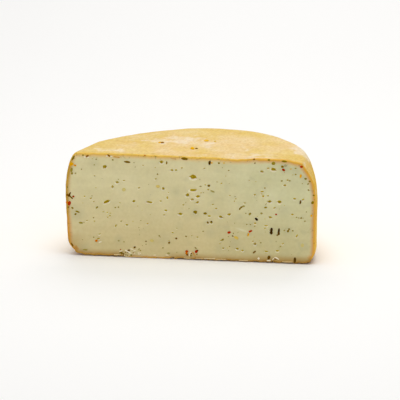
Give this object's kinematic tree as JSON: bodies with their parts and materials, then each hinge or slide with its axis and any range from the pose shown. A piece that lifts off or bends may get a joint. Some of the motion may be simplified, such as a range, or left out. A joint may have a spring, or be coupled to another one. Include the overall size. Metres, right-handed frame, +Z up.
{
  "type": "half wheel of goat cheese",
  "caption": "Half a wheel of semi-hard goat cheese with herbs, cut through its axis, with small eyes in the cut face and a thin golden rind, resting on its flat base.",
  "frame": {"origin": "on the base plane, under the middle of the half wheel's bounding box", "axes": "+X along the cut to its right end, +Y from the cut towards the rind at the back, +Z up"},
  "size_m": [0.2414, 0.1264, 0.1039],
  "materials": {
    "paste": "cut semi-hard cheese paste, slightly moist, with small open eyes",
    "rind": "thin golden rind under a soft-sheen coating, with a pale bloom on top",
    "herb": "dried herb flakes, dark green to nearly black",
    "pepper": "dried red and orange pepper flakes"
  },
  "bodies": {
    "root": {"cheese_half": "paste"}
  },
  "joints": []
}
